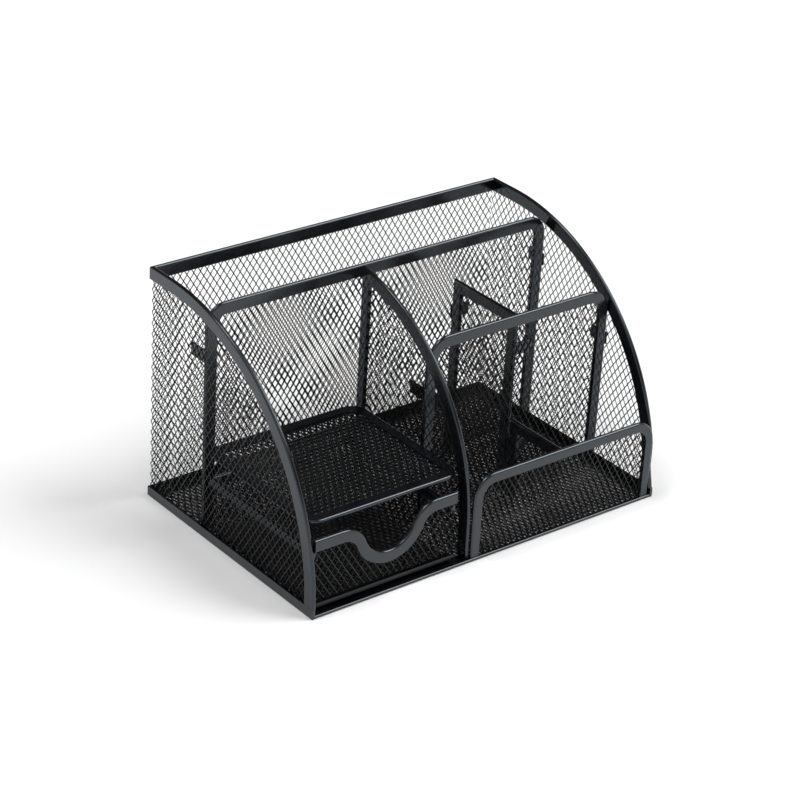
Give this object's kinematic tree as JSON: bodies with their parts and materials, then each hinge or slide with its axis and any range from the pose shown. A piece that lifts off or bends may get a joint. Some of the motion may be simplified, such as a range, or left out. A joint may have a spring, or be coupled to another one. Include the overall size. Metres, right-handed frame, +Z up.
{
  "type": "pen stand with drawer",
  "caption": "Black mesh desk organizer with quarter-round sides, divided pen compartments, an open tray and a small sliding drawer with a finger dip.",
  "frame": {"origin": "centre of the footprint, on the surface that the stand rests on", "axes": "+X to the right as seen from the front, +Y to the back wall, +Z up; the drawer opens towards -Y"},
  "size_m": [0.22, 0.143, 0.129],
  "materials": {
    "rim_paint": "satin black powder coat",
    "mesh_paint": "satin black powder coat",
    "base_paint": "satin black powder coat"
  },
  "bodies": {
    "frame": {"floor_mesh": "mesh_paint", "base_hem_front": "base_paint", "base_band_left": "base_paint", "base_band_right": "base_paint", "base_band_back": "base_paint", "left_side_mesh": "mesh_paint", "left_side_rim": "rim_paint", "right_side_mesh": "mesh_paint", "right_side_rim": "rim_paint", "back_mesh": "mesh_paint", "back_rim": "rim_paint", "rear_divider_mesh": "mesh_paint", "rear_divider_rim": "rim_paint", "rear_divider_tab_left": "rim_paint", "rear_divider_tab_right": "rim_paint", "front_divider_mesh": "mesh_paint", "front_divider_rim": "rim_paint", "front_divider_tab_left": "rim_paint", "front_divider_tab_right": "rim_paint", "fence_mesh": "mesh_paint", "fence_rim": "rim_paint", "cross_divider_mesh": "mesh_paint", "cross_divider_rim": "rim_paint", "cross_divider_tab_rear": "rim_paint", "cross_divider_tab_front": "rim_paint", "middle_divider_mesh": "mesh_paint", "middle_divider_rim": "rim_paint", "low_divider_mesh": "mesh_paint", "low_divider_rim": "rim_paint", "low_divider_tab": "rim_paint", "shelf_mesh": "mesh_paint", "shelf_rim": "rim_paint"},
    "drawer": {"drawer_front_mesh": "mesh_paint", "drawer_front_rim": "rim_paint", "drawer_front_hem": "rim_paint", "drawer_left_mesh": "mesh_paint", "drawer_left_rim": "rim_paint", "drawer_right_mesh": "mesh_paint", "drawer_right_rim": "rim_paint", "drawer_back_mesh": "mesh_paint", "drawer_back_rim": "rim_paint", "drawer_floor_mesh": "mesh_paint"}
  },
  "joints": [
    {"name": "drawer_slide", "type": "slide", "parent": "frame", "child": "drawer", "axis": [0, -1, 0], "range_m": [0, 0.07]}
  ]
}
